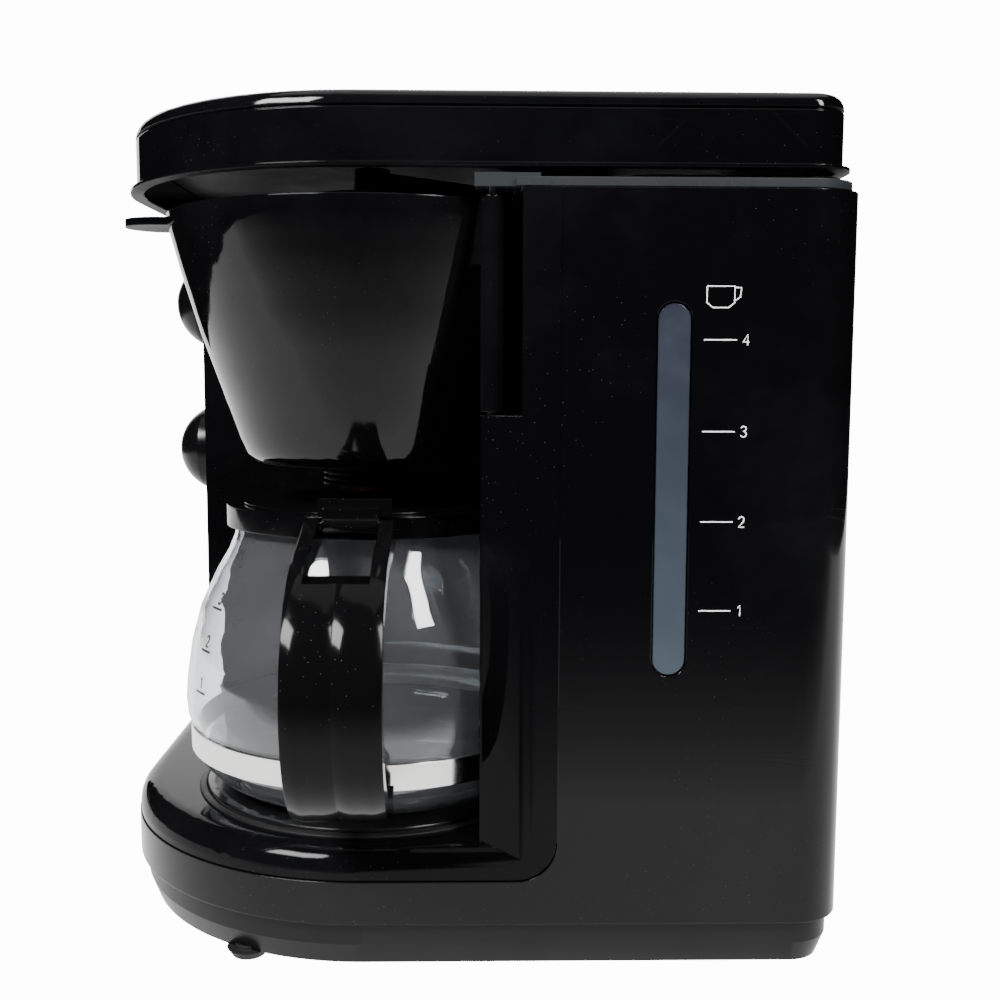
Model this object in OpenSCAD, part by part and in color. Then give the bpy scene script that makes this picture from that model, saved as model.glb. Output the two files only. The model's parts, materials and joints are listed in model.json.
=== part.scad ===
// Drip coffee maker: 1.2 litre glass jug, swing-out filter holder, tank with a level window.
// Millimetres, +Z up, front towards -Y, brew bay on the +X side, control column on the -X side.
// The drawing axes have X = 0 half way across the cabinet; place() moves every piece so that
// the origin of the model is under the middle of its bounding box, on the table.

/* [Cabinet] */
// Width of the cabinet
cabinet_w = 216; // [212:1:232]
// Depth of the cabinet at the base band
cabinet_d = 270; // [266:1:290]
// Height of the cabinet without its lid
cabinet_top = 272; // [272:1:280]
// Corner radius at the brew bay, seen from above
bay_corner_r = 100; // [90:1:104]
// Wall thickness of the mouldings
wall = 2.5; // [2:0.1:3]

/* [Lid] */
// Height of the lid, lip to top
lid_h = 25.5; // [24:0.5:30]

/* [Jug] */
// Largest radius of the glass
jug_r = 75; // [70:1:76]
// Wall thickness of the glass
glass_t = 2.2; // [1.8:0.1:3]
// Width of the jug handle
handle_w = 31; // [24:1:34]

/* [Filter holder] */
// Outer radius of the holder at its rim
holder_r = 78; // [76:1:79]

/* [Controls] */
// Diameter of both rotary knobs
knob_d = 38; // [30:1:39]

/* [Hidden] */

$fn = 96;
eps = 0.01;

// levels above the table
plinth_z = 3;
band_z = 19.5;
crease_z = 35;
deck_z = 47;
flange_z = cabinet_top + 0.5;
flange_t = 4.5;
lid_z = flange_z + flange_t + 2;
ledge_z = 197;

// plan of the cabinet
right_x = cabinet_w/2;
left_x = -right_x;
rear_y = cabinet_d/2;
front_y = -rear_y;
left_corner_r = 26;
rear_corner_r = 18;
panel_seam_y = rear_y - 102;
seam_r = 14;

// brew bay and the axis shared by the jug and the filter holder
axis_x = right_x - 80;
axis_y = front_y + 99;
bay_r = 82;
fin_y = axis_y + 42;
column_x = axis_x - bay_r;
column_y = front_y + 13.5;
column_back_x = left_x + 4;
fin_r = 52;

// water tank
tank_x0 = -40;
tank_x1 = right_x - 7;
tank_y0 = axis_y + bay_r + 6;
tank_y1 = rear_y - 6;
tank_z = 98;
tank_r = 12;
outlet_x = axis_x + 22;
outlet_y = 88;
riser_x = -56;
riser_y = 62;
hose_r = 5;

// level window
window_y = rear_y - 64.5;
window_w = 12;
window_gap = 0.6;
window_z0 = 108;
window_z1 = 235;

// warming plate, with the heater 0.1 mm below it
plate_z = deck_z + 3;
plate_t = 1.2;
heater_z = plate_z - plate_t - 0.1 - 6.5;
hose_z = heater_z - 14;

// jug
jug_z = plate_z + 0.3;
band_z0 = 65;
band_h = 9.5;
collar_z = 152;
collar_r = jug_r - 17;
collar_h = 8;
neck_r = collar_r - 3;
handle_x = axis_x + 85;
handle_z = 108.5;
handle_r = 46.5;
handle_t = 7;
cheek_t = 5;
crown_drop = 0.9;
hollow_z = 146;
handle_y = axis_y - 3;
lid_pin_x = axis_x + collar_r + 5;
lid_pin_z = collar_z + 6;
lid_r = neck_r - 3.6;

// filter holder
holder_top = cabinet_top - 2;
holder_bottom = 176;
holder_t = 2;
pivot_x = axis_x + 70.5;
pivot_y = axis_y + 46;
valve_travel = 3;
valve_tip_z = 165;

// controls
knob_x = left_x + 28;
timer_z = 243;
selector_z = 174;
knob_h = 16.5;
knob_gap = 0.6;
shaft_r = 3;

// lid hinge, and the fits that all hinge pins share
hinge_y = rear_y - 7;
hinge_z = flange_z + flange_t + 7;
hinge_r = 1.5;
fixed_fit = 0.03;
loose_fit = 0.05;
hinge_xs = [-70, 70];

// the model's bounding box, used to put the origin under its middle
box_x0 = left_x;
box_x1 = handle_x + handle_r;
box_y0 = column_y - knob_gap - knob_h;
box_y1 = rear_y;

module place() {
    translate([-(box_x0 + box_x1)/2, -(box_y0 + box_y1)/2, 0]) children();
}

module at_axis(z = 0) {
    translate([axis_x, axis_y, z]) children();
}

// ring of radius r, wall t and height h, standing at z = 0
module tube(r, t, h) {
    difference() {
        cylinder(r = r, h = h);
        translate([0, 0, -1]) cylinder(r = r - t, h = h + 2);
    }
}

// ---------- plan shapes ----------

// the cabinet seen from above, drawn in by inset all round
module footprint(inset = 0) {
    corners = [
        [right_x, front_y, bay_corner_r],
        [right_x, rear_y, rear_corner_r],
        [left_x, rear_y, rear_corner_r],
        [left_x, front_y, left_corner_r]];
    for (c = corners)
        translate([c[0] - sign(c[0])*c[2], c[1] - sign(c[1])*c[2]])
            circle(r = c[2] - inset, $fn = 180);
    polygon([for (c = corners, k = [0, 1])
        let (along = (c[0]*c[1] > 0) ? k : 1 - k)
        [c[0] - sign(c[0])*(along == 1 ? c[2] : inset),
         c[1] - sign(c[1])*(along == 1 ? inset : c[2])]]);
}

// slab with the cabinet's plan, from z0 to z1, with its top edge rounded to radius r
module soft_slab(inset, z0, z1, r) {
    steps = 6;
    translate([0, 0, z0]) linear_extrude(z1 - r - z0) footprint(inset);
    hull() for (k = [0 : steps])
        translate([0, 0, z1 - r + r*sin(90*k/steps) - eps])
            linear_extrude(eps) footprint(inset + r*(1 - cos(90*k/steps)));
}

// space that the jug and filter holder use: a round bay, open to the front and right
module bay_plan(grow = 0) {
    translate([axis_x, axis_y]) circle(r = bay_r + grow, $fn = 180);
    translate([column_x - grow, axis_y - 200]) square([200, 200]);
    translate([axis_x, axis_y - 100]) square([200, fin_y - axis_y + 100 + grow]);
}

// walls beside the bay: the control column on the left and the curved fin on the right
module side_walls_plan(inset = 0) {
    column_r = 12;
    translate([column_back_x + inset, column_y + column_r])
        square([column_x - column_back_x, panel_seam_y - column_y - column_r]);
    translate([column_back_x + column_r, column_y])
        square([column_x - column_back_x - column_r, 40]);
    translate([column_back_x + column_r, column_y + column_r]) circle(r = column_r - inset);
    intersection() {
        translate([right_x - fin_r, panel_seam_y]) circle(r = fin_r - inset, $fn = 180);
        translate([axis_x, fin_y]) square([200, panel_seam_y - fin_y]);
    }
}

// ---------- cabinet ----------

// outer casing: sides and back above the seam, with the band that runs right round the base
module housing() {
    color([0.03, 0.03, 0.035])
    place() difference() {
        translate([0, 0, band_z]) linear_extrude(cabinet_top - band_z) footprint();
        translate([0, 0, band_z - 1]) linear_extrude(cabinet_top) footprint(wall);
        // front of the casing, open above the band, with a round lower corner each side
        difference() {
            translate([left_x - 1, front_y - 1, crease_z])
                cube([cabinet_w + 2, panel_seam_y - front_y + 1, cabinet_top]);
            for (x = [left_x - 2, right_x - wall - 2])
                translate([x, panel_seam_y - seam_r, crease_z - 1])
                    cube([wall + 4, seam_r + 1, seam_r + 1]);
        }
        for (x = [left_x - 1, right_x - wall - 1])
            translate([x, panel_seam_y - seam_r, crease_z + seam_r])
                rotate([0, 90, 0]) cylinder(r = seam_r, h = wall + 2);
        // slot for the level window
        translate([right_x - wall - 1, window_y - window_w/2, window_z0 + window_w/2])
            cube([wall + 2, window_w, window_z1 - window_z0 - window_w]);
        for (z = [window_z0 + window_w/2, window_z1 - window_w/2])
            translate([right_x - wall - 1, window_y, z])
                rotate([0, 90, 0]) cylinder(d = window_w, h = wall + 2);
        // hole for the cord inlet
        translate([-60, rear_y + 1, 60]) rotate([90, 0, 0]) cylinder(r = 9, h = wall + 2);
    }
}

// inner moulding: the deck, the back of the brew bay, the column walls and the fin
module bay_liner() {
    shoulder = 9;
    color([0.03, 0.03, 0.035])
    place() difference() {
        union() {
            soft_slab(0.4, crease_z + 0.4, deck_z, shoulder);
            translate([0, 0, crease_z + 5]) linear_extrude(cabinet_top - crease_z - 5)
                side_walls_plan();
            at_axis(crease_z + 5) difference() {
                cylinder(r = bay_r + wall, h = cabinet_top - crease_z - 5, $fn = 180);
                translate([-150, -300, -1]) cube([300, 300 + 42, 400]);
            }
            translate([0, 0, crease_z + 5]) intersection() {
                at_axis() cylinder(r = bay_r + wall, h = cabinet_top - crease_z - 5, $fn = 180);
                translate([left_x, axis_y, 0]) cube([cabinet_w/2, 90, 400]);
            }
        }
        // the bay itself
        translate([0, 0, deck_z]) linear_extrude(cabinet_top) bay_plan();
        // hollow column, open at the front for the control panel and open behind
        translate([0, 0, deck_z - wall]) linear_extrude(cabinet_top) difference() {
            union() {
                translate([column_back_x + wall, column_y - 1])
                    square([column_x - column_back_x - 2*wall, 300]);
                translate([left_x, panel_seam_y]) square([cabinet_w, 200]);
            }
            translate([axis_x, axis_y]) circle(r = bay_r + wall, $fn = 180);
        }
        // hollow fin
        translate([0, 0, deck_z - wall]) linear_extrude(cabinet_top) difference() {
            intersection() {
                translate([right_x - fin_r, panel_seam_y]) circle(r = fin_r - wall, $fn = 180);
                translate([axis_x, fin_y + 18]) square([200, 100]);
            }
            translate([axis_x, axis_y]) circle(r = bay_r + wall, $fn = 180);
        }
        // hollow under the deck
        translate([0, 0, crease_z - 1]) linear_extrude(deck_z - wall - crease_z + 1)
            footprint(shoulder + wall);
        // deck ends behind the seam, where the casing stands
        translate([left_x - 1, panel_seam_y - 0.3, crease_z - 1])
            cube([cabinet_w + 2, 200, deck_z - crease_z + 1.01]);
        // room for the round lower corners of the casing
        for (x = [left_x - 1, right_x - wall - 0.4])
            difference() {
                translate([x, panel_seam_y - seam_r, crease_z - 1])
                    cube([wall + 1.4, seam_r + 1, seam_r + 1]);
                translate([x - 1, panel_seam_y - seam_r, crease_z + seam_r])
                    rotate([0, 90, 0]) cylinder(r = seam_r - 0.4, h = wall + 4);
            }
        // notch in the fin for the hinge of the filter holder
        translate([axis_x + 40, fin_y - 1, ledge_z]) cube([100, 15, cabinet_top]);
        translate([pivot_x, pivot_y, ledge_z - 6.1]) cylinder(r = hinge_r + fixed_fit, h = 20);
        // round opening for the warming plate
        at_axis(0) cylinder(r = 70.5, h = 100, $fn = 180);
    }
}

// flat front of the control column, with the two shaft holes
module control_panel() {
    color([0.05, 0.05, 0.055])
    place() difference() {
        translate([column_back_x + wall + 0.3, column_y + 0.5, deck_z + 0.5])
            cube([column_x - column_back_x - 2*wall - 0.6, wall, cabinet_top - deck_z - 1]);
        for (z = [timer_z, selector_z])
            translate([knob_x, column_y - 1, z])
                rotate([-90, 0, 0]) cylinder(r = shaft_r + 0.8, h = wall + 4);
    }
}

// tapered plinth that closes the base, with cooling slots and four feet bosses
module base_cover() {
    plinth_in = 3;
    taper_h = 8;
    color([0.04, 0.04, 0.045])
    place() difference() {
        union() {
            translate([0, 0, plinth_z + taper_h])
                linear_extrude(band_z - 0.3 - plinth_z - taper_h) footprint(plinth_in);
            hull() {
                translate([0, 0, plinth_z]) linear_extrude(eps) footprint(plinth_in + 3);
                translate([0, 0, plinth_z + taper_h]) linear_extrude(eps) footprint(plinth_in);
            }
            translate([0, 0, band_z - 1]) linear_extrude(5) footprint(wall + 0.4);
        }
        translate([0, 0, plinth_z + wall]) linear_extrude(30) footprint(plinth_in + 3 + wall);
        for (p = foot_spots())
            translate([p[0], p[1], plinth_z - 1]) cylinder(r = 5, h = 2.5);
        for (p = screw_spots())
            translate([p[0], p[1], plinth_z - 1]) cylinder(r = 1.75, h = 10);
        for (i = [-4 : 4])
            translate([axis_x - 40 + 9*i, axis_y + 30, plinth_z - 1]) cube([4, 40, 10]);
    }
}

function foot_spots() = [
    [right_x - 20, front_y + 57], [right_x - 24, rear_y - 24],
    [left_x + 24, rear_y - 24], [left_x + 24, front_y + 24]];

function screw_spots() = [
    [right_x - 45, front_y + 40], [right_x - 45, rear_y - 20],
    [left_x + 45, rear_y - 20], [left_x + 45, front_y + 20]];

module rubber_feet() {
    color([0.1, 0.1, 0.1])
    place() for (p = foot_spots())
        translate([p[0], p[1], 0]) {
            cylinder(r1 = 6, r2 = 8, h = plinth_z - 0.01);
            cylinder(r = 4.98, h = plinth_z + 1.4);
        }
}

module base_screws() {
    color([0.6, 0.6, 0.62])
    place() for (p = screw_spots())
        translate([p[0], p[1], plinth_z - 1.6]) {
            difference() {
                cylinder(r = 3.2, h = 1.6);
                translate([0, 0, -0.5]) {
                    translate([-2, -0.4, 0]) cube([4, 0.8, 1.5]);
                    translate([-0.4, -2, 0]) cube([0.8, 4, 1.5]);
                }
            }
            cylinder(r = 1.7, h = 13);
        }
}

// ---------- water system ----------

module tank_plan(inset = 0) {
    r = tank_r - inset;
    for (x = [tank_x0 + tank_r, tank_x1 - tank_r], y = [tank_y0 + tank_r, tank_y1 - tank_r])
        translate([x, y]) circle(r = r);
    translate([tank_x0 + inset, tank_y0 + tank_r])
        square([tank_x1 - tank_x0 - 2*inset, tank_y1 - tank_y0 - 2*tank_r]);
    translate([tank_x0 + tank_r, tank_y0 + inset])
        square([tank_x1 - tank_x0 - 2*tank_r, tank_y1 - tank_y0 - 2*inset]);
}

// grey tank: its flange lies on the casing, and a lug at the front holds the holder's hinge pin
module water_tank() {
    color([0.48, 0.51, 0.56])
    place() difference() {
        union() {
            translate([0, 0, tank_z]) linear_extrude(flange_z + flange_t - tank_z) tank_plan();
            translate([0, 0, flange_z]) linear_extrude(flange_t - 1.5) intersection() {
                footprint(2);
                translate([left_x, fin_y + 12]) square([cabinet_w, 200]);
            }
            // lug above the holder's hinge
            translate([pivot_x - 8, pivot_y - 6, flange_z]) cube([13.5, 22, flange_t]);
            translate([outlet_x, outlet_y, tank_z - 10]) cylinder(r = 6, h = 11);
            for (x = hinge_xs)
                translate([x - 5, hinge_y, 0]) rotate([90, 0, 90]) linear_extrude(10) {
                    translate([0, hinge_z]) circle(r = 3);
                    translate([-3, flange_z + 2]) square([6, hinge_z - flange_z - 2]);
                }
        }
        translate([0, 0, flange_z - 1]) linear_extrude(20)
            difference() {
                translate([axis_x, axis_y]) circle(r = bay_r, $fn = 180);
                translate([axis_x, fin_y - 7]) square([200, 200]);
            }
        translate([0, 0, tank_z + wall])
            linear_extrude(flange_z + flange_t + 0.2 - tank_z - wall) tank_plan(wall);
        translate([outlet_x, outlet_y, tank_z - 11]) cylinder(r = 4, h = 20);
        translate([pivot_x, pivot_y, flange_z - 1]) cylinder(r = hinge_r + fixed_fit, h = 4);
        // gap for the riser tube
        translate([riser_x, riser_y, flange_z - 1]) cylinder(r = 6, h = 20);
        // bores for the lid's hinge pins
        for (x = hinge_xs)
            translate([x - 12, hinge_y, hinge_z])
                rotate([0, 90, 0]) cylinder(r = hinge_r + fixed_fit, h = 24);
    }
}

module tank_outlet_seal() {
    color([0.75, 0.75, 0.7])
    place() translate([outlet_x, outlet_y, tank_z - 9.5]) tube(7.6, 1.58, 6);
}

// clear strip in the side of the casing
module level_window() {
    color([0.55, 0.6, 0.68, 0.6])
    place() {
        for (z = [window_z0 + window_w/2, window_z1 - window_w/2])
            translate([right_x - wall - 0.5, window_y, z])
                rotate([0, 90, 0]) cylinder(d = window_w - 2*window_gap, h = wall - 0.1);
        translate([right_x - wall - 0.5, window_y - window_w/2 + window_gap, window_z0 + window_w/2])
            cube([wall - 0.1, window_w - 2*window_gap, window_z1 - window_z0 - window_w]);
        translate([right_x - wall - 1.2, window_y - window_w/2 - 3, window_z0 - 3])
            cube([1.15, window_w + 6, window_z1 - window_z0 + 6]);
    }
}

// non-return valve under the tank outlet
module check_valve() {
    color([0.8, 0.8, 0.76])
    place() translate([outlet_x, outlet_y, 62]) {
        tube(5.9, 1.9, 25.9);
        translate([0, 0, 8]) sphere(r = 3.4);
        tube(5.9, 3.2, 3);
    }
}

// quarter turn of hose in the plane X-Y, from the +X side of its centre round to +Y
module elbow(bend_r) {
    rotate_extrude(angle = 90) translate([bend_r, 0]) circle(r = hose_r, $fn = 48);
}

// from the check valve down, then forward to the heater inlet
module cold_hose() {
    bend = 12;
    end_y = axis_y + 39;
    color([0.85, 0.85, 0.82])
    place() {
        translate([outlet_x, outlet_y, hose_z + bend]) cylinder(r = hose_r, h = 62 - hose_z - bend);
        translate([outlet_x, outlet_y - bend, hose_z + bend])
            rotate([0, 0, 90]) rotate([-90, 0, 0]) elbow(bend);
        translate([outlet_x, outlet_y - bend, hose_z])
            rotate([90, 0, 0]) cylinder(r = hose_r, h = outlet_y - bend - end_y);
    }
}

// from the heater outlet back, across to the left and up to the riser
module hot_hose() {
    bend = 12;
    start_x = axis_x - 22;
    start_y = axis_y + 39;
    color([0.85, 0.85, 0.82])
    place() {
        translate([start_x, riser_y - bend, hose_z])
            rotate([90, 0, 0]) cylinder(r = hose_r, h = riser_y - bend - start_y);
        translate([start_x - bend, riser_y - bend, hose_z]) elbow(bend);
        translate([riser_x + bend, riser_y, hose_z])
            rotate([0, 90, 0]) cylinder(r = hose_r, h = start_x - riser_x - 2*bend);
        translate([riser_x + bend, riser_y, hose_z + bend])
            rotate([0, 0, 180]) rotate([-90, 0, 0]) elbow(bend);
        translate([riser_x, riser_y, hose_z + bend]) cylinder(r = hose_r, h = 56 - hose_z - bend);
    }
}

module riser_tube() {
    color([0.8, 0.8, 0.78])
    place() translate([riser_x, riser_y, 56.05]) tube(5, 1.5, lid_z - 56.1);
}

// hot water arm from the riser to the middle of the filter holder
module spray_arm() {
    arm_z = lid_z + 5.5;
    arm_a = atan2(riser_y - axis_y, riser_x - axis_x);
    arm_l = norm([riser_y - axis_y, riser_x - axis_x]);
    color([0.5, 0.52, 0.56])
    place() difference() {
        union() {
            at_axis(arm_z) rotate([0, 0, arm_a]) translate([3, 0, 0])
                rotate([0, 90, 0]) cylinder(r = 4.6, h = arm_l - 6);
            translate([riser_x, riser_y, lid_z]) cylinder(r = 6.5, h = 11);
            at_axis(arm_z - 7) cylinder(r = 7, h = 12);
        }
        at_axis(arm_z) rotate([0, 0, arm_a]) rotate([0, 90, 0]) cylinder(r = 3, h = arm_l);
        translate([riser_x, riser_y, lid_z - 1]) cylinder(r = 3.5, h = 7);
        at_axis(arm_z - 8) cylinder(r = 4, h = 8.5);
    }
}

// perforated head that spreads the water over the coffee
module spray_head() {
    head_z = lid_z - 7;
    color([0.5, 0.52, 0.56])
    place() at_axis(head_z) difference() {
        union() {
            cylinder(r = 32, h = 5.4);
            cylinder(r = 3.98, h = 11);
        }
        translate([0, 0, 1.6]) difference() {
            cylinder(r = 30.4, h = 2.2);
            translate([0, 0, -1]) cylinder(r = 4, h = 5);
        }
        for (ring = [12, 22], k = [0 : 7])
            rotate([0, 0, 45*k + ring]) translate([ring, 0, -1]) cylinder(r = 1.4, h = 4);
    }
}

// ---------- heating ----------

module warming_plate() {
    color([0.08, 0.08, 0.085])
    place() at_axis(0) rotate_extrude($fn = 180) polygon([
        [0, plate_z], [65, plate_z], [67.3, plate_z - 0.8], [68, plate_z - 2],
        [68, deck_z - 4], [66.8, deck_z - 4], [66.8, plate_z - 2], [65, plate_z - plate_t],
        [0, plate_z - plate_t]]);
}

module plate_seal() {
    color([0.12, 0.12, 0.12])
    place() at_axis(0) rotate_extrude($fn = 180) polygon([
        [68.05, deck_z - 3.5], [70.4, deck_z - 3.5], [70.4, deck_z + 0.6],
        [69.2, deck_z + 1.2], [68.05, deck_z + 1.2]]);
}

// horseshoe of aluminium: a heating rod and a water tube cast side by side
module heater() {
    color([0.7, 0.71, 0.72])
    place() at_axis(heater_z) {
        difference() {
            union() {
                rotate_extrude() translate([36, 0]) circle(r = 6.5);
                rotate_extrude() translate([36, -12]) circle(r = 5.5);
                rotate_extrude() translate([33, -12]) square([6, 12]);
            }
            translate([-22, 0, -30]) cube([44, 60, 60]);
        }
        for (x = [-1, 1])
            translate([22*x, 27, -14]) rotate([-90, 0, 0]) cylinder(r = 4, h = 11.8);
    }
}

module heater_clamp() {
    color([0.65, 0.66, 0.68])
    place() at_axis(16) difference() {
        translate([-52, -14, 0]) cube([104, 22, 1.6]);
        for (x = [-46, 46])
            translate([x, -3, -1]) cylinder(r = 2.1, h = 4);
    }
}

module clamp_screws() {
    color([0.6, 0.6, 0.62])
    place() for (x = [-46, 46])
        at_axis(0) translate([x, -3, 14]) {
            cylinder(r = 3.6, h = 2);
            cylinder(r = 2.1, h = 12);
        }
}

module thermostat() {
    color([0.2, 0.2, 0.22])
    place() at_axis(17.6) {
        translate([0, -3, 0]) cylinder(r = 8, h = 8);
        for (x = [-1, 1])
            translate([14*x - 4, -5.5, 2]) cube([8, 5, 0.8]);
    }
}

module thermal_fuses() {
    color([0.85, 0.84, 0.8])
    place() for (x = [-18, 18])
        at_axis(21) translate([x, 4.8, 0]) rotate([0, 90, 0]) cylinder(r = 2, h = 12, center = true);
}

// ---------- electrics ----------

module terminal_block() {
    color([0.85, 0.85, 0.83])
    place() translate([-86, 60, plinth_z + wall + 0.05]) difference() {
        cube([30, 14, 14]);
        for (x = [5, 15, 25])
            translate([x, 7, 4]) cylinder(r = 2, h = 20);
    }
}

// sleeve for the mains cord, through the back of the casing
module cord_inlet() {
    color([0.08, 0.08, 0.08])
    place() translate([-60, rear_y - 0.2, 60]) rotate([90, 0, 0]) difference() {
        union() {
            cylinder(r = 8.97, h = wall + 8);
            translate([0, 0, wall + 0.3]) cylinder(r = 11, h = 2);
        }
        translate([0, 0, -1]) cylinder(r = 4, h = 30);
    }
}

module control_body(z, w, depth) {
    translate([knob_x, column_y + wall + 0.6, z]) rotate([-90, 0, 0]) difference() {
        union() {
            cylinder(r = 5.5, h = 6);
            translate([-w/2, -w/2, 6]) cube([w, w, depth]);
        }
        translate([0, 0, -1]) cylinder(r = shaft_r + 0.05, h = depth);
    }
}

module timer_unit() {
    color([0.5, 0.5, 0.48])
    place() control_body(timer_z, 36, 34);
}

module selector_switch() {
    color([0.75, 0.74, 0.7])
    place() control_body(selector_z, 26, 22);
}

module control_shaft(z, depth) {
    translate([knob_x, column_y - 12, z]) rotate([-90, 0, 0]) cylinder(r = shaft_r, h = depth);
}

module timer_shaft() {
    color([0.7, 0.7, 0.72])
    place() control_shaft(timer_z, 40);
}

module selector_shaft() {
    color([0.7, 0.7, 0.72])
    place() control_shaft(selector_z, 32);
}

// domed rotary knob with a pointer groove
module knob(z) {
    dome_r = knob_d/2 + 2;
    translate([knob_x, column_y - knob_gap, z]) rotate([90, 0, 0]) difference() {
        rotate_extrude($fn = 120) difference() {
            intersection() {
                translate([0, knob_h - dome_r]) circle(r = dome_r, $fn = 180);
                square([knob_d/2, knob_h]);
            }
            translate([shaft_r + 2.5, -1]) square([knob_d/2 - shaft_r - 4.5, 6]);
        }
        translate([0, 0, -1]) cylinder(r = shaft_r + 0.02, h = 12.6);
        translate([-0.8, 6, knob_h - 1.2]) cube([1.6, knob_d/2, 3]);
    }
}

module timer_knob() {
    color([0.06, 0.06, 0.065])
    place() knob(timer_z);
}

module selector_knob() {
    color([0.06, 0.06, 0.065])
    place() knob(selector_z);
}

// ---------- lid ----------

// outer cover: lip, skirt, crease and rounded top edge
module lid_shell() {
    top_z = lid_z + lid_h;
    round_r = 5;
    color([0.03, 0.03, 0.035])
    place() difference() {
        union() {
            translate([0, 0, lid_z]) linear_extrude(1.3) footprint(3);
            soft_slab(5.5, lid_z, top_z, round_r);
        }
        // crease round the top edge
        translate([0, 0, top_z - 6.2]) linear_extrude(1) difference() {
            footprint(0);
            footprint(6.2);
        }
        translate([0, 0, lid_z - 1]) linear_extrude(lid_h - 1.5) footprint(8);
        // notches for the hinge knuckles of the tank
        for (x = hinge_xs)
            translate([x - 8, hinge_y - 5, lid_z - 1]) cube([16, 20, hinge_z - lid_z + 5.5]);
    }
    // hinge ears
    color([0.03, 0.03, 0.035])
    place() for (x = hinge_xs, side = [-1, 1])
        difference() {
            translate([x + 7*side - 1.5, hinge_y - 4, hinge_z - 3])
                cube([3, 7.2, lid_z + lid_h - 2 - hinge_z + 3]);
            translate([x - 12, hinge_y, hinge_z])
                rotate([0, 90, 0]) cylinder(r = hinge_r + 0.02, h = 24);
        }
}

// inner skin of the lid
module lid_liner() {
    color([0.07, 0.07, 0.075])
    place() difference() {
        translate([0, 0, lid_z + 14]) linear_extrude(2) footprint(8.5);
        for (x = hinge_xs)
            translate([x - 12, hinge_y - 8, lid_z]) cube([24, 40, 40]);
    }
}

module lid_hinge_pins() {
    color([0.6, 0.6, 0.62])
    place() for (x = hinge_xs)
        translate([x - 7.5, hinge_y, hinge_z]) rotate([0, 90, 0]) cylinder(r = hinge_r, h = 15);
}

// ---------- filter holder ----------

// radius of the holder's wall at height z: a straight cone that rounds in at the bottom
holder_profile = [[44, 176], [47.6, 177.2], [50, 180], [52.6, 186], [59, 205], [66.4, 226],
    [73, 248], [holder_r - 1, 263], [holder_r - 0.4, 266.4]];

module filter_holder() {
    tab_w = 28;
    tab_t = 3;
    tab_reach = 96;
    inner = [for (i = [len(holder_profile) - 1 : -1 : 1])
        [holder_profile[i][0] - holder_t, max(holder_profile[i][1], holder_bottom + 2.2)]];
    color([0.03, 0.03, 0.035])
    place() difference() {
        union() {
            at_axis() rotate_extrude($fn = 180) polygon(concat(
                [[0, holder_bottom]], holder_profile,
                [[holder_r, holder_top], [holder_r - 3, holder_top]],
                inner, [[0, holder_bottom + 2.2]]));
            // pull tab at the front
            at_axis(holder_top - 3.4) difference() {
                union() {
                    translate([0, tab_w/2 - tab_reach, 0]) cylinder(d = tab_w, h = tab_t);
                    translate([-tab_w/2, tab_w/2 - tab_reach, 0]) cube([tab_w, 20, tab_t]);
                }
                translate([0, 0, -1]) cylinder(r = holder_r - 2, h = 10);
            }
            // hinge barrel and the web that carries it
            translate([pivot_x, pivot_y, ledge_z + 1]) cylinder(r = 4, h = holder_top - ledge_z - 1);
            at_axis(holder_top - 22) difference() {
                rotate([0, 0, atan2(pivot_y - axis_y, pivot_x - axis_x)])
                    translate([holder_r - 6, -1.6, 0])
                        cube([norm([pivot_x - axis_x, pivot_y - axis_y]) - holder_r + 3, 3.2, 22]);
                translate([0, 0, -30]) cylinder(r1 = 65, r2 = holder_r - 0.8, h = 53);
            }
        }
        translate([pivot_x, pivot_y, 0]) cylinder(r = hinge_r + loose_fit, h = 400);
        // outlet for the drip valve
        at_axis(holder_bottom - 1) cylinder(r = 5, h = 5);
    }
}

module holder_hinge_pin() {
    color([0.65, 0.65, 0.67])
    place() translate([pivot_x, pivot_y, ledge_z - 6])
        cylinder(r = hinge_r, h = flange_z + 2.5 - ledge_z + 6);
}

// removable inner cone, which carries the paper filter
module filter_insert() {
    color([0.06, 0.06, 0.065])
    place() at_axis() rotate_extrude($fn = 180) polygon([
        [0, 183], [40, 183], [66.5, 262], [70, 262], [70, 263.6],
        [65.2, 263.6], [38.9, 184.6], [0, 184.6]]);
}

// ribbed cup below the holder, guide of the drip valve
module valve_cup() {
    cup_r = 16.6;
    cup_t = 2.2;
    cup_z = 167;
    rib_out = 1.8;
    rib_step = 2.2;
    color([0.06, 0.06, 0.065])
    place() at_axis() rotate_extrude() {
        translate([cup_r, cup_z]) square([cup_t, holder_bottom - eps - cup_z]);
        for (k = [0 : 3])
            translate([cup_r, cup_z + 0.2 + rib_step*k]) square([cup_t + rib_out, rib_step/2]);
        translate([5, holder_bottom - 1.6]) square([cup_r - 3.6, 1.6 - eps]);
    }
}

module valve_stem() {
    color([0.75, 0.3, 0.2])
    place() at_axis(0) {
        translate([0, 0, valve_tip_z]) cylinder(r = 14, h = 2);
        translate([0, 0, valve_tip_z]) cylinder(r = 3, h = 14.7);
    }
}

module valve_seal() {
    color([0.8, 0.78, 0.72])
    place() at_axis(holder_bottom + 2.25) tube(6.5, 3.48, 1.4);
}

// compression spring; a level cut through round wire on a helix is a curved banana shape
module valve_spring() {
    coils = 2;
    coil_r = 10;
    wire_r = 0.4;
    free_h = 5.6;
    pitch = free_h/coils;
    color([0.7, 0.7, 0.72])
    place() at_axis(valve_tip_z + 2.6)
        linear_extrude(free_h, twist = -360*coils, slices = 20*coils, $fn = 12)
            polygon([for (t = [0 : 45 : 315])
                let (r = coil_r + wire_r*cos(t), a = 360*wire_r*sin(t)/pitch)
                [r*cos(a), r*sin(a)]]);
}

// ---------- jug ----------

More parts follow.
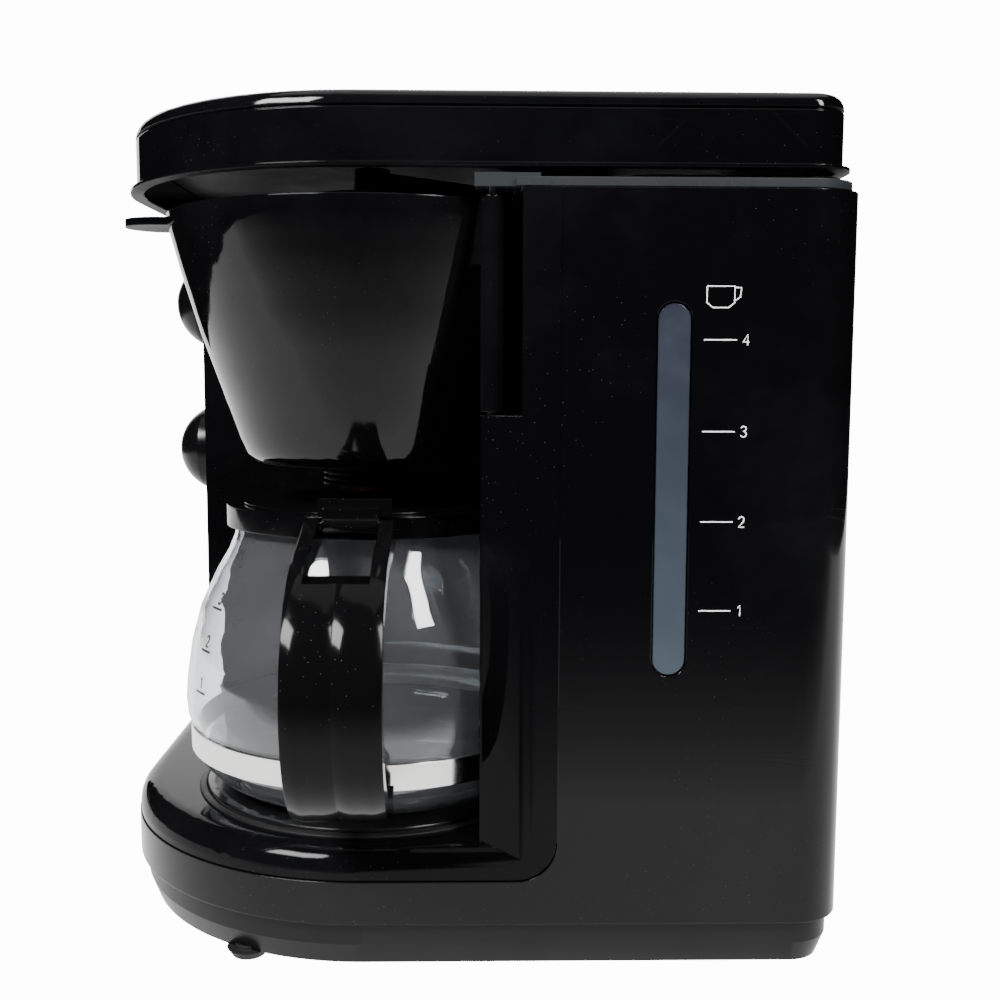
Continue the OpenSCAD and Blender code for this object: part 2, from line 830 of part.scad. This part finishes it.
// outer profile of the glass: foot, belly, shoulder and neck
glass_profile = [[56, 0], [60, 1.2], [64.5, 4.4], [69.5, 9.5], [72, 14.7], [72.6, 24.2], [74.4, 28],
    [jug_r, 34], [jug_r - 0.6, 42], [jug_r - 2.6, 56], [jug_r - 6.4, 70], [jug_r - 13, 84],
    [neck_r + 2.4, 92], [neck_r, 98], [neck_r - 0.6, 101.5], [neck_r - 0.6, 107.5]];

module jug_glass() {
    n = len(glass_profile);
    inner = [for (i = [n - 1 : -1 : 0])
        [glass_profile[i][0] - glass_t, max(glass_profile[i][1], glass_t)]];
    color([0.8, 0.85, 0.88, 0.35])
    place() at_axis(jug_z) rotate_extrude($fn = 180)
        polygon(concat([[0, 0]], glass_profile, inner, [[0, glass_t]]));
}

// steel strap round the foot of the glass
module jug_band() {
    color([0.75, 0.76, 0.78])
    place() difference() {
        union() {
            at_axis(band_z0) cylinder(r = 73.4, h = band_h, $fn = 180);
            translate([axis_x + 70, handle_y - 6, band_z0]) cube([8.6, 12, band_h]);
        }
        at_axis(band_z0 - 1) cylinder(r = 72.7, h = band_h + 2, $fn = 180);
        translate([axis_x + 65, handle_y, band_z0 + band_h/2])
            rotate([0, 90, 0]) cylinder(r = 1.8, h = 20);
    }
}

module band_screw() {
    color([0.6, 0.6, 0.62])
    place() translate([axis_x + 73.6, handle_y, band_z0 + band_h/2])
        rotate([0, 90, 0]) cylinder(r = 1.75, h = 14);
}

// plastic ring that grips the neck of the glass
module jug_collar() {
    color([0.03, 0.03, 0.035])
    place() at_axis(collar_z) difference() {
        cylinder(r = collar_r, h = collar_h, $fn = 180);
        translate([0, 0, -1]) cylinder(r = neck_r + 0.1, h = collar_h - 0.8, $fn = 180);
        translate([0, 0, -1]) cylinder(r = neck_r - 3, h = collar_h + 2, $fn = 180);
    }
}

// drop of the strap's outer face at width w: two crowned halves that meet in a groove
function crown(w) =
    let (half = handle_w/2, u = (w < half) ? w/half : w/half - 1)
    crown_drop*pow(2*u - 1, 4);

strap_profile = concat(
    [[handle_r - handle_t, 0]],
    [for (i = [0 : 16]) [handle_r - crown(handle_w*i/16), handle_w*i/16]],
    [[handle_r - handle_t, handle_w]]);

// strap handle: a bowed grip, a foot at the steel band, and two cheeks at the collar that hold
// the hinge pin of the jug's lid
module jug_handle() {
    cheek_z = collar_z - handle_z;
    foot_z = band_z0 + band_h/2 - handle_z;
    color([0.03, 0.03, 0.035])
    place() translate([handle_x, handle_y + handle_w/2, handle_z]) rotate([90, 0, 0])
        difference() {
            union() {
                difference() {
                    rotate_extrude($fn = 180) polygon(strap_profile);
                    translate([-60, -60, -1]) cube([54, 120, handle_w + 2]);
                    // above this height only the two cheeks go on to the collar
                    translate([-7, hollow_z - handle_z, cheek_t])
                        cube([handle_r, 20, handle_w - 2*cheek_t]);
                }
                for (z = [0, handle_w - cheek_t])
                    translate([0, 0, z]) linear_extrude(cheek_t) polygon([
                        [-27, cheek_z], [-27, cheek_z + collar_h], [-14, cheek_z + collar_h],
                        [10, handle_r - 2.4], [10, handle_r - 6], [-8, handle_r - 6]]);
                // foot at the steel band, for its screw
                translate([-5.9, foot_z - 6, handle_w/2 - 6]) cube([10, 11.5, 12]);
            }
            translate([-8, foot_z, handle_w/2]) rotate([0, 90, 0]) cylinder(r = 1.8, h = 11.2);
            translate([lid_pin_x - handle_x, lid_pin_z - handle_z, -1])
                cylinder(r = hinge_r + fixed_fit, h = handle_w + 2);
        }
}

// flip lid: a disc with a funnel, an arm over the collar, a knuckle and a thumb tab
module jug_lid() {
    rim_z = collar_z + collar_h;
    knuckle_w = handle_w - 2*cheek_t - 1;
    color([0.03, 0.03, 0.035])
    place() difference() {
        union() {
            at_axis(rim_z - 2.4) cylinder(r = lid_r, h = 3.2);
            translate([axis_x + lid_r - 10, handle_y - knuckle_w/2, rim_z + 0.4])
                cube([lid_pin_x - axis_x - lid_r + 10, knuckle_w, 2]);
            translate([lid_pin_x, handle_y - knuckle_w/2, lid_pin_z])
                rotate([-90, 0, 0]) cylinder(r = 2.9, h = knuckle_w);
            translate([lid_pin_x - 1.5, handle_y - knuckle_w/2, lid_pin_z])
                cube([3, knuckle_w, 6]);
            translate([lid_pin_x - 1.5, handle_y - handle_w/2 + 4.1, rim_z + 1])
                cube([2.6, handle_w - 5.2, 6.4]);
        }
        translate([lid_pin_x, handle_y - handle_w, lid_pin_z])
            rotate([-90, 0, 0]) cylinder(r = hinge_r + loose_fit, h = 2*handle_w);
        // shallow funnel and its drain slots
        at_axis(rim_z - 0.8) cylinder(r1 = 11, r2 = 15.2, h = 1.7);
        at_axis(collar_z) for (k = [0 : 3])
            rotate([0, 0, 90*k]) translate([3, -1.2, 0]) cube([6, 2.4, 20]);
    }
}

module jug_lid_pin() {
    color([0.65, 0.65, 0.67])
    place() translate([lid_pin_x, handle_y - handle_w/2 + 0.4, lid_pin_z])
        rotate([-90, 0, 0]) cylinder(r = hinge_r, h = handle_w - 0.8);
}

housing();
bay_liner();
control_panel();
base_cover();
rubber_feet();
base_screws();
water_tank();
tank_outlet_seal();
level_window();
check_valve();
cold_hose();
hot_hose();
riser_tube();
spray_arm();
spray_head();
warming_plate();
plate_seal();
heater();
heater_clamp();
clamp_screws();
thermostat();
thermal_fuses();
terminal_block();
cord_inlet();
timer_unit();
selector_switch();
timer_shaft();
selector_shaft();
timer_knob();
selector_knob();
lid_shell();
lid_liner();
lid_hinge_pins();
filter_holder();
holder_hinge_pin();
filter_insert();
valve_cup();
valve_stem();
valve_seal();
valve_spring();
jug_glass();
jug_band();
band_screw();
jug_collar();
jug_handle();
jug_lid();
jug_lid_pin();
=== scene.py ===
"""Looks of the drip coffee maker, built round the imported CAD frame. Metres, +Z up, front towards -Y."""

import json
import math

import bpy
from mathutils import Matrix, Vector


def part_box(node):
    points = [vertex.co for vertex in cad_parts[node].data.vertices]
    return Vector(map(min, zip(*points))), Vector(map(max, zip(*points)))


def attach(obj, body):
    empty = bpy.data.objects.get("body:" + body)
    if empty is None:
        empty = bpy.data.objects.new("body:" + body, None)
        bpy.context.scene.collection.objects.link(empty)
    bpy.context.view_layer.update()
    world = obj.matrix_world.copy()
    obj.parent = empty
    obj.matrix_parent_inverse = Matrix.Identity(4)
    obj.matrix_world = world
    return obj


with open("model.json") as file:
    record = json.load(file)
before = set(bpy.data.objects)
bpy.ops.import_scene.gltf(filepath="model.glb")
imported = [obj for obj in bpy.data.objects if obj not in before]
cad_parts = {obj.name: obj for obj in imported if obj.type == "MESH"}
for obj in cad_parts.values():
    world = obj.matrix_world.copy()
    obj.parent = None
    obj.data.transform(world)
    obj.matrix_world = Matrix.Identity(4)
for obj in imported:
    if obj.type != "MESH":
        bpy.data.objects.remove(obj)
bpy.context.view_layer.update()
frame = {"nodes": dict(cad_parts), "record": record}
nodes = frame["nodes"]
MM = 0.001

# what the camera sees round the machine, what the gloss mirrors, and the light of the dark room
SEEN_WHITE = 14.0
MIRROR_LIGHT = 2.2
ROOM_LIGHT = 0.006

# CAD faces closer than WELD are joined, and edges sharper than CREASE stay sharp
WELD = 0.000002
CREASE = math.radians(32)


# ---------- places taken from the frame ----------

glass_lo, glass_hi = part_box("jug_glass")
window_lo, window_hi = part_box("level_window")
side_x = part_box("housing")[1].x
jug_axis = (glass_lo + glass_hi)/2


# ---------- small tools for materials ----------

class Finish:
    """A procedural material round one Principled shader, with patterns in the object's own metres."""

    def __init__(self, name):
        self.name = name
        self.material = bpy.data.materials.new(name)
        self.material.use_nodes = True
        self.tree = self.material.node_tree
        self.shader = self.tree.nodes["Principled BSDF"]
        self.place = self.tree.nodes.new("ShaderNodeTexCoord").outputs["Object"]

    def node(self, kind, inputs=None, **settings):
        made = self.tree.nodes.new(kind)
        for key, value in settings.items():
            setattr(made, key, value)
        for key, value in (inputs or {}).items():
            self.put(made.inputs[key], value)
        return made

    def put(self, socket, value):
        if isinstance(value, bpy.types.NodeSocket):
            self.tree.links.new(value, socket)
        else:
            socket.default_value = value

    def set(self, **values):
        for key, value in values.items():
            self.put(self.shader.inputs[key.replace("_", " ")], value)

    def stretched(self, scale, turn=(0, 0, 0)):
        made = self.node("ShaderNodeMapping", {"Vector": self.place, "Scale": scale, "Rotation": turn})
        return made.outputs["Vector"]

    def noise(self, scale, detail=4, rough=0.55, where=None):
        made = self.node("ShaderNodeTexNoise", {
            "Vector": where or self.place, "Scale": scale, "Detail": detail, "Roughness": rough})
        return made.outputs["Fac"]

    def span(self, value, low, high, to_low=0.0, to_high=1.0):
        made = self.node("ShaderNodeMapRange", {
            "Value": value, "From Min": low, "From Max": high, "To Min": to_low, "To Max": to_high})
        return made.outputs["Result"]

    def sum(self, *values):
        total = values[0]
        for value in values[1:]:
            total = self.node("ShaderNodeMath", {0: total, 1: value}, operation="ADD").outputs[0]
        return total

    def times(self, *values):
        total = values[0]
        for value in values[1:]:
            total = self.node("ShaderNodeMath", {0: total, 1: value}, operation="MULTIPLY").outputs[0]
        return total

    def mix(self, share, first, second):
        made = self.node("ShaderNodeMix", data_type="RGBA")
        self.put(made.inputs[0], share)
        self.put(made.inputs[6], first)
        self.put(made.inputs[7], second)
        return made.outputs[2]

    def hairlines(self, scale, width, turn):
        """Thin scratches: the edges of long, narrow cells, kept only in patches."""
        where = self.stretched((scale, scale*0.12, scale*0.7), turn)
        cells = self.node("ShaderNodeTexVoronoi", {"Vector": where, "Scale": 1.0}, feature="DISTANCE_TO_EDGE")
        line = self.span(cells.outputs["Distance"], 0, width, 1, 0)
        patch = self.span(self.noise(22, 2), 0.52, 0.66)
        return self.times(line, patch)

    def specks(self, scale, size):
        """Dust: small dots, kept only in patches."""
        cells = self.node("ShaderNodeTexVoronoi", {"Vector": self.place, "Scale": scale})
        dot = self.span(cells.outputs["Distance"], size*0.5, size, 1, 0)
        patch = self.span(self.noise(14, 3), 0.45, 0.62)
        return self.times(dot, patch)

    def relief(self, height, depth, edge=0.0):
        """Bump of the given depth in metres; edge rounds the sharp edges of the mesh in shading."""
        normal = {}
        if edge:
            normal = {"Normal": self.node("ShaderNodeBevel", {"Radius": edge}, samples=4).outputs["Normal"]}
        made = self.node("ShaderNodeBump", {"Height": height, "Distance": depth, "Strength": 1.0, **normal})
        self.set(Normal=made.outputs["Normal"])


def grey(value, alpha=1.0):
    return (value, value, value, alpha)


DUST = (0.22, 0.21, 0.2, 1.0)


def plastic(name, colour, rough=(0.05, 0.14), wave=0.0001, peel=0.000004, dust=0.12, edge=0.0007,
            gloss=0.2, dull_below=False):
    """Moulded plastic with smudges, hairline scratches, dust and a slightly uneven face.

    With dull_below, faces that look straight down are left as rough as they come from a matt mould.
    """
    f = Finish(name)
    smudge = f.span(f.noise(17, 7, 0.62), 0.46, 0.68)
    lines = f.sum(f.hairlines(70, 0.012, (0.3, 0.2, 0.5)), f.hairlines(50, 0.01, (1.2, 0.5, 0.1)))
    dots = f.specks(420, 0.1)
    low, high = rough
    wear = f.sum(f.span(smudge, 0, 1, low, high), f.times(lines, 0.18), f.times(dots, 0.3))
    if dull_below:
        face = f.node("ShaderNodeTexCoord").outputs["Normal"]
        down = f.node("ShaderNodeSeparateXYZ", {"Vector": face}).outputs["Z"]
        wear = f.sum(wear, f.span(down, -0.95, -0.8, 0.5, 0.0))
    f.set(Roughness=wear, Specular_IOR_Level=gloss)
    film = f.times(f.span(f.noise(9, 5, 0.65), 0.5, 0.72), 0.5)
    tint = f.mix(film, colour, [c*2.5 + 0.002 for c in colour[:3]] + [1])
    f.set(Base_Color=f.mix(f.times(dots, dust), tint, DUST), IOR=1.46)
    height = f.sum(f.times(f.noise(11, 1, 0.4), wave), f.times(f.noise(420, 2), peel),
                   f.times(lines, -0.00001))
    f.relief(height, 1.0, edge)
    return f


def matte(name, colour, rough=0.5, grain=0.00003, grain_scale=1600, gloss=0.3):
    """Satin or matt moulding, rubber or sleeve with a fine grain and uneven wear."""
    f = Finish(name)
    wear = f.span(f.noise(26, 6, 0.6), 0.4, 0.7)
    lines = f.hairlines(60, 0.02, (0.4, 0.9, 0.2))
    f.set(Base_Color=f.mix(f.times(wear, 0.35), colour, [min(1, c*1.35 + 0.004) for c in colour[:3]] + [1]))
    f.set(Roughness=f.sum(f.span(wear, 0, 1, rough*0.85, min(1, rough*1.15)), f.times(lines, -0.1)))
    f.set(Specular_IOR_Level=gloss)
    f.relief(f.sum(f.times(f.noise(grain_scale, 2), grain), f.times(lines, -0.00002)), 1.0, 0.0005)
    return f


def metal(name, colour, rough=0.25, brush=(60, 60, 2200), depth=0.000004):
    """Bare metal with brush or draw marks along one direction, and dull patches."""
    f = Finish(name)
    marks = f.noise(1, 3, 0.6, f.stretched(brush))
    dull = f.span(f.noise(40, 5, 0.6), 0.42, 0.7)
    f.set(Metallic=1.0, Base_Color=f.mix(f.times(dull, 0.4), colour, [c*0.8 for c in colour[:3]] + [1]))
    f.set(Roughness=f.sum(f.span(dull, 0, 1, rough*0.75, rough*1.3), f.span(marks, 0.3, 0.7, -0.04, 0.05)))
    f.relief(f.times(marks, depth), 1.0, 0.0003)
    return f


def glass(name, tint=(0.93, 0.96, 0.99, 1), ior=1.47):
    """Clear blown glass with a faint haze, waves and dried-water stains."""
    f = Finish(name)
    stain = f.times(f.span(f.noise(45, 6, 0.7), 0.55, 0.75), f.span(f.noise(12, 2), 0.45, 0.6))
    f.set(Transmission_Weight=0.972, Base_Color=tint, IOR=ior)
    f.set(Roughness=f.span(stain, 0, 1, 0.0, 0.14))
    f.relief(f.times(f.noise(30, 1, 0.4), 0.00006), 1.0)
    return f


def window(name):
    """Clear strip over the grey tank, darker towards its top."""
    f = Finish(name)
    height = f.node("ShaderNodeSeparateXYZ", {"Vector": f.place}).outputs["Z"]
    share = f.span(height, window_lo.z, window_hi.z)
    shade = f.mix(share, (0.034, 0.045, 0.057, 1), (0.016, 0.018, 0.027, 1))
    mist = f.span(f.noise(60, 4, 0.6), 0.4, 0.7)
    f.set(Base_Color=f.mix(f.times(mist, 0.3), shade, (0.04, 0.048, 0.06, 1)), IOR=1.49)
    f.set(Roughness=f.span(mist, 0, 1, 0.12, 0.26))
    f.relief(f.times(f.noise(200, 2), 0.00001), 1.0, 0.0005)
    return f


# ---------- materials by slot ----------

BLACK = (0.0016, 0.0016, 0.0019, 1)
FINISHES = {f.name: f for f in [
    plastic("casing_black", BLACK, (0.03, 0.1), wave=0.00022),
    plastic("liner_black", BLACK, (0.03, 0.09), wave=0.00012, gloss=0.09),
    plastic("panel_black", (0.002, 0.002, 0.0023, 1), (0.12, 0.2)),
    matte("plinth_black", (0.003, 0.003, 0.0034, 1), 0.32, grain=0.00001, gloss=0.17),
    matte("foot_rubber", (0.004, 0.004, 0.004, 1), 0.75, grain=0.00008, grain_scale=900),
    metal("screw_steel", (0.55, 0.55, 0.56, 1), 0.3),
    matte("tank_grey", (0.021, 0.0235, 0.025, 1), 0.3, grain=0.00002, gloss=0.16),
    matte("silicone_white", (0.62, 0.6, 0.55, 1), 0.5),
    window("window_clear"),
    matte("valve_white", (0.62, 0.61, 0.57, 1), 0.4),
    matte("hose_silicone", (0.6, 0.59, 0.54, 1), 0.38),
    matte("tube_white", (0.62, 0.61, 0.57, 1), 0.4),
    matte("plate_black", (0.0025, 0.0025, 0.0027, 1), 0.22, grain=0.00002, grain_scale=700),
    matte("seal_black", (0.004, 0.004, 0.004, 1), 0.5),
    metal("heater_aluminium", (0.6, 0.61, 0.62, 1), 0.45, (300, 300, 300), 0.00006),
    metal("bracket_steel", (0.55, 0.56, 0.57, 1), 0.32, (2000, 40, 40)),
    matte("switch_black", (0.02, 0.02, 0.02, 1), 0.45),
    matte("fuse_white", (0.7, 0.69, 0.63, 1), 0.8, grain=0.0001, grain_scale=1200),
    matte("block_white", (0.66, 0.65, 0.6, 1), 0.4),
    matte("timer_grey", (0.15, 0.15, 0.145, 1), 0.45),
    metal("shaft_steel", (0.6, 0.6, 0.61, 1), 0.22, (2000, 40, 2000)),
    plastic("knob_black", (0.002, 0.002, 0.0023, 1), (0.16, 0.26)),
    plastic("lid_black", BLACK, (0.03, 0.1), wave=0.00012, dull_below=True),
    matte("liner_matt", (0.0025, 0.0025, 0.0028, 1), 0.5, gloss=0.03),
    metal("pin_steel", (0.6, 0.6, 0.61, 1), 0.2, (40, 40, 1500)),
    plastic("holder_black", BLACK, (0.04, 0.12), wave=0.00006, gloss=0.28, dull_below=True),
    matte("insert_black", (0.005, 0.005, 0.0055, 1), 0.35),
    plastic("cup_black", (0.003, 0.003, 0.0033, 1), (0.15, 0.25)),
    matte("stem_red", (0.3, 0.05, 0.03, 1), 0.4),
    metal("spring_steel", (0.6, 0.6, 0.61, 1), 0.22, (300, 300, 300)),
    glass("jug_glass"),
    metal("band_steel", (0.8, 0.79, 0.77, 1), 0.16, (10, 10, 1800), 0.000003),
    plastic("collar_black", BLACK, (0.06, 0.14)),
    plastic("handle_black", (0.002, 0.002, 0.0022, 1), (0.1, 0.2), wave=0.00006, gloss=0.1),
    plastic("jug_lid_black", (0.002, 0.002, 0.0022, 1), (0.1, 0.2)),
]}
ink = matte("ink_white", (0.78, 0.78, 0.76, 1), 0.45, grain=0.00002).material
jug_ink = matte("ink_grey", (0.012, 0.012, 0.012, 1), 0.5, grain=0.00002).material


def smooth_round_faces(obj):
    """Joins the CAD faces and shades them as one where they meet at less than the crease angle."""
    mesh = obj.data
    if mesh.has_custom_normals:
        mesh.attributes.remove(mesh.attributes["custom_normal"])
    for edge in mesh.edges:
        edge.use_edge_sharp = False
    for face in mesh.polygons:
        face.use_smooth = True
    weld = obj.modifiers.new("weld", "WELD")
    weld.merge_threshold = WELD
    split = obj.modifiers.new("split", "EDGE_SPLIT")
    split.split_angle = CREASE
    split.use_edge_sharp = False
    level = obj.modifiers.new("level", "WEIGHTED_NORMAL")
    level.weight = 60


def dress_nodes():
    """Gives every CAD node the finish of its slot and smooth shading on its round faces."""
    slot_of = {part["node"]: part["material_slot"] for part in frame["record"]["subparts"]}
    for name, obj in nodes.items():
        obj.data.materials.clear()
        obj.data.materials.append(FINISHES[slot_of[name]].material)
        smooth_round_faces(obj)


# ---------- printed marks ----------

def print_lines(name, strokes, width, body, material):
    """Printed lines: round strokes sunk so deep that only a low, flat ridge shows."""
    curve = bpy.data.curves.new(name, "CURVE")
    curve.dimensions = "3D"
    curve.bevel_depth = width
    curve.bevel_resolution = 3
    curve.use_fill_caps = True
    for stroke in strokes:
        spline = curve.splines.new("POLY")
        spline.points.add(len(stroke) - 1)
        for point, place in zip(spline.points, stroke):
            point.co = (*place, 1)
    obj = bpy.data.objects.new(name, curve)
    bpy.context.scene.collection.objects.link(obj)
    curve.materials.append(material)
    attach(obj, body)
    return obj


# strokes of the digits in a cell one unit high: across, up
DIGITS = {
    "1": [[(0.14, 0.76), (0.36, 1.0), (0.36, 0.0)]],
    "2": [[(0.04, 0.76), (0.12, 0.93), (0.3, 1.0), (0.48, 0.93), (0.55, 0.74), (0.46, 0.5), (0.03, 0.0),
           (0.58, 0.0)]],
    "3": [[(0.05, 0.84), (0.16, 0.97), (0.32, 1.0), (0.48, 0.92), (0.53, 0.75), (0.44, 0.58), (0.24, 0.53),
           (0.46, 0.47), (0.57, 0.27), (0.48, 0.07), (0.3, 0.0), (0.13, 0.04), (0.03, 0.18)]],
    "4": [[(0.46, 0.0), (0.46, 1.0), (0.02, 0.3), (0.62, 0.3)]],
}


def level_marks():
    """Four lines with the numbers 1 to 4 beside the level window, and a cup above them."""
    mark_y = window_hi.y + 0.8*MM
    mark_l = 11*MM
    step = 30.5*MM
    first_z = window_lo.z + 25.9*MM
    digit_h = 3.6*MM
    line_r = 0.5*MM
    sunk = 0.43*MM
    x = side_x - sunk
    strokes = []
    for i in range(4):
        z = first_z + i*step
        strokes.append([(x, mark_y, z), (x, mark_y + mark_l, z)])
        digit_y = mark_y + mark_l + 1.9*MM
        for stroke in DIGITS[str(i + 1)]:
            strokes.append([(x, digit_y + u*digit_h, z + (v - 0.5)*digit_h) for u, v in stroke])
    print_lines("level_marks", strokes, line_r, "cabinet", ink)

    cup_y = mark_y + 0.7*MM
    cup_z = first_z + 3*step + 10.6*MM
    cup_w = 9.2*MM
    cup_h = 7*MM
    corner = 2*MM
    cup = [(0, cup_h), (0, corner*0.8), (corner, 0), (cup_w - corner, 0), (cup_w, corner*0.8),
           (cup_w, cup_h), (0, cup_h)]
    ear = [(cup_w, cup_h*0.94), (cup_w + 2.2*MM, cup_h*0.94), (cup_w + 1.9*MM, cup_h*0.5),
           (cup_w, cup_h*0.3)]
    cup_strokes = [[(x, cup_y + u, cup_z + v) for u, v in shape] for shape in (cup, ear)]
    print_lines("cup_sign", cup_strokes, line_r, "cabinet", ink)


def glass_radius(height):
    """Outer radius of the glass at a height, from the frame's own mesh."""
    rings = {}
    for vertex in nodes["jug_glass"].data.vertices:
        key = round(vertex.co.z, 5)
        radius = math.hypot(vertex.co.x - jug_axis.x, vertex.co.y - jug_axis.y)
        rings[key] = max(radius, rings.get(key, 0.0))
    below = max(z for z in rings if z <= height)
    above = min(z for z in rings if z >= height)
    share = (height - below)/(above - below) if above > below else 0.0
    return rings[below] + share*(rings[above] - rings[below])


def jug_marks():
    """Graduations on the front right of the glass: four lines with small numbers."""
    turn = math.radians(-60)
    line_l = 8*MM
    digit_h = 4*MM
    step = 15.5*MM
    first_z = glass_lo.z + 41.7*MM
    line_r = 0.45*MM
    sunk = 0.4*MM

    def on_glass(along, height):
        radius = glass_radius(height)
        angle = turn + along/radius
        reach = radius - sunk
        return (jug_axis.x + reach*math.cos(angle), jug_axis.y + reach*math.sin(angle), height)

    strokes = []
    for i in range(4):
        z = first_z + i*step
        strokes.append([on_glass(line_l*k/4, z) for k in range(5)])
        for stroke in DIGITS[str(i + 1)]:
            strokes.append([on_glass(3*MM + u*digit_h, z + 1.6*MM + v*digit_h) for u, v in stroke])
    print_lines("jug_marks", strokes, line_r, "jug", jug_ink)


# ---------- stage, lights and camera ----------

def sheet_piece(name, corners, material, seen):
    """Flat stage sheet: either the one that the camera sees or the one that lights and mirrors."""
    mesh = bpy.data.meshes.new(name)
    mesh.from_pydata(corners, [], [list(range(len(corners)))])
    mesh.materials.append(material)
    obj = bpy.data.objects.new(name, mesh)
    bpy.context.scene.collection.objects.link(obj)
    obj.visible_camera = seen
    obj.visible_diffuse = not seen
    obj.visible_glossy = not seen
    obj.visible_transmission = not seen
    obj.visible_shadow = not seen


def glow(name, strength, fade_from=None, fade=0.16):
    """Plain pale sheet that gives off light; past fade_from along X it fades away."""
    f = Finish(name)
    f.set(Base_Color=grey(0.0), Roughness=1.0, Emission_Color=grey(1.0))
    f.set(Specular_IOR_Level=0.0)
    power = strength
    if fade_from is not None:
        x = f.node("ShaderNodeSeparateXYZ", {"Vector": f.place}).outputs["X"]
        past = f.node("ShaderNodeMath", {0: x, 1: fade_from}, operation="SUBTRACT").outputs[0]
        past = f.node("ShaderNodeMath", {0: past, 1: 0.0}, operation="MAXIMUM").outputs[0]
        past = f.node("ShaderNodeMath", {0: past, 1: -fade}, operation="DIVIDE").outputs[0]
        share = f.node("ShaderNodeMath", {0: past}, operation="EXPONENT").outputs[0]
        power = f.times(share, strength)
    f.set(Emission_Strength=power)
    return f.material


def stage():
    """White table and backdrop. What the camera sees is plain white, and what the gloss mirrors is dimmer."""
    far, side, top, reach = -1.6, 1.15, 2.2, 4.0
    floor = [(-reach, -reach, 0), (reach, -reach, 0), (reach, reach, 0), (-reach, reach, 0)]
    wall = [(far, -side, 0), (far, side, 0), (far, side, top), (far, -side, top)]
    table = [(far, -side, -MM), (reach/2, -side, -MM), (reach/2, side, -MM), (far, side, -MM)]
    sheet_piece("floor", floor, glow("floor_white", SEEN_WHITE), True)
    sheet_piece("table", table, glow("table_light", MIRROR_LIGHT, 0.25), False)
    sheet_piece("backdrop", wall, glow("backdrop_light", MIRROR_LIGHT), False)


def room():
    """White behind everything for the camera, and a nearly dark room for the light."""
    world = bpy.data.worlds.new("room")
    world.use_nodes = True
    tree = world.node_tree
    path = tree.nodes.new("ShaderNodeLightPath")
    shade = tree.nodes["Background"]
    scale = tree.nodes.new("ShaderNodeMath")
    scale.operation = "MULTIPLY_ADD"
    tree.links.new(path.outputs["Is Camera Ray"], scale.inputs[0])
    scale.inputs[1].default_value = SEEN_WHITE
    scale.inputs[2].default_value = ROOM_LIGHT
    tree.links.new(scale.outputs[0], shade.inputs["Strength"])
    shade.inputs["Color"].default_value = grey(1.0)
    bpy.context.scene.world = world


def softbox(name, place, size, glow_level):
    """Soft light aimed at the middle of the machine; its power follows from how bright its sheet looks."""
    light = bpy.data.lights.new(name, "AREA")
    light.shape = "RECTANGLE"
    light.size, light.size_y = size
    light.energy = glow_level*math.pi*size[0]*size[1]
    obj = bpy.data.objects.new(name, light)
    obj.location = place
    obj.rotation_mode = "QUATERNION"
    middle = Vector((0.03, -0.04, 0.18))
    obj.rotation_quaternion = (middle - Vector(place)).to_track_quat("-Z", "Y")
    obj.visible_camera = False
    bpy.context.scene.collection.objects.link(obj)


def lights():
    """Key light at the front right, a narrow light at the rear right, and a wide dim one above."""
    softbox("key", (0.835, -0.757, 1.118), (0.6, 0.42), 75)
    softbox("window", (0.8, 0.6, 0.95), (0.22, 0.5), 60)
    softbox("top", (-0.2, 0.1, 1.9), (1.6, 1.6), 1.6)


def camera():
    """Camera at the right of the machine, above the middle of its height, looking slightly down."""
    data = bpy.data.cameras.new("camera")
    data.lens = 43.2
    data.sensor_width = 36
    data.shift_x = 0.003
    obj = bpy.data.objects.new("camera", data)
    turn, tilt, roll = math.radians(1.1), math.radians(6.2), math.radians(-0.2)
    ahead = Vector((-math.cos(turn)*math.cos(tilt), math.sin(turn)*math.cos(tilt), -math.sin(tilt)))
    obj.location = (0.48285, 0.0058, 0.2123)
    obj.rotation_mode = "QUATERNION"
    obj.rotation_quaternion = (Matrix.Rotation(roll, 3, ahead).to_quaternion()
                               @ ahead.to_track_quat("-Z", "Y"))
    data.clip_start = 0.02
    data.clip_end = 20
    bpy.context.scene.collection.objects.link(obj)
    bpy.context.scene.camera = obj


dress_nodes()
level_marks()
jug_marks()
stage()
room()
lights()
camera()
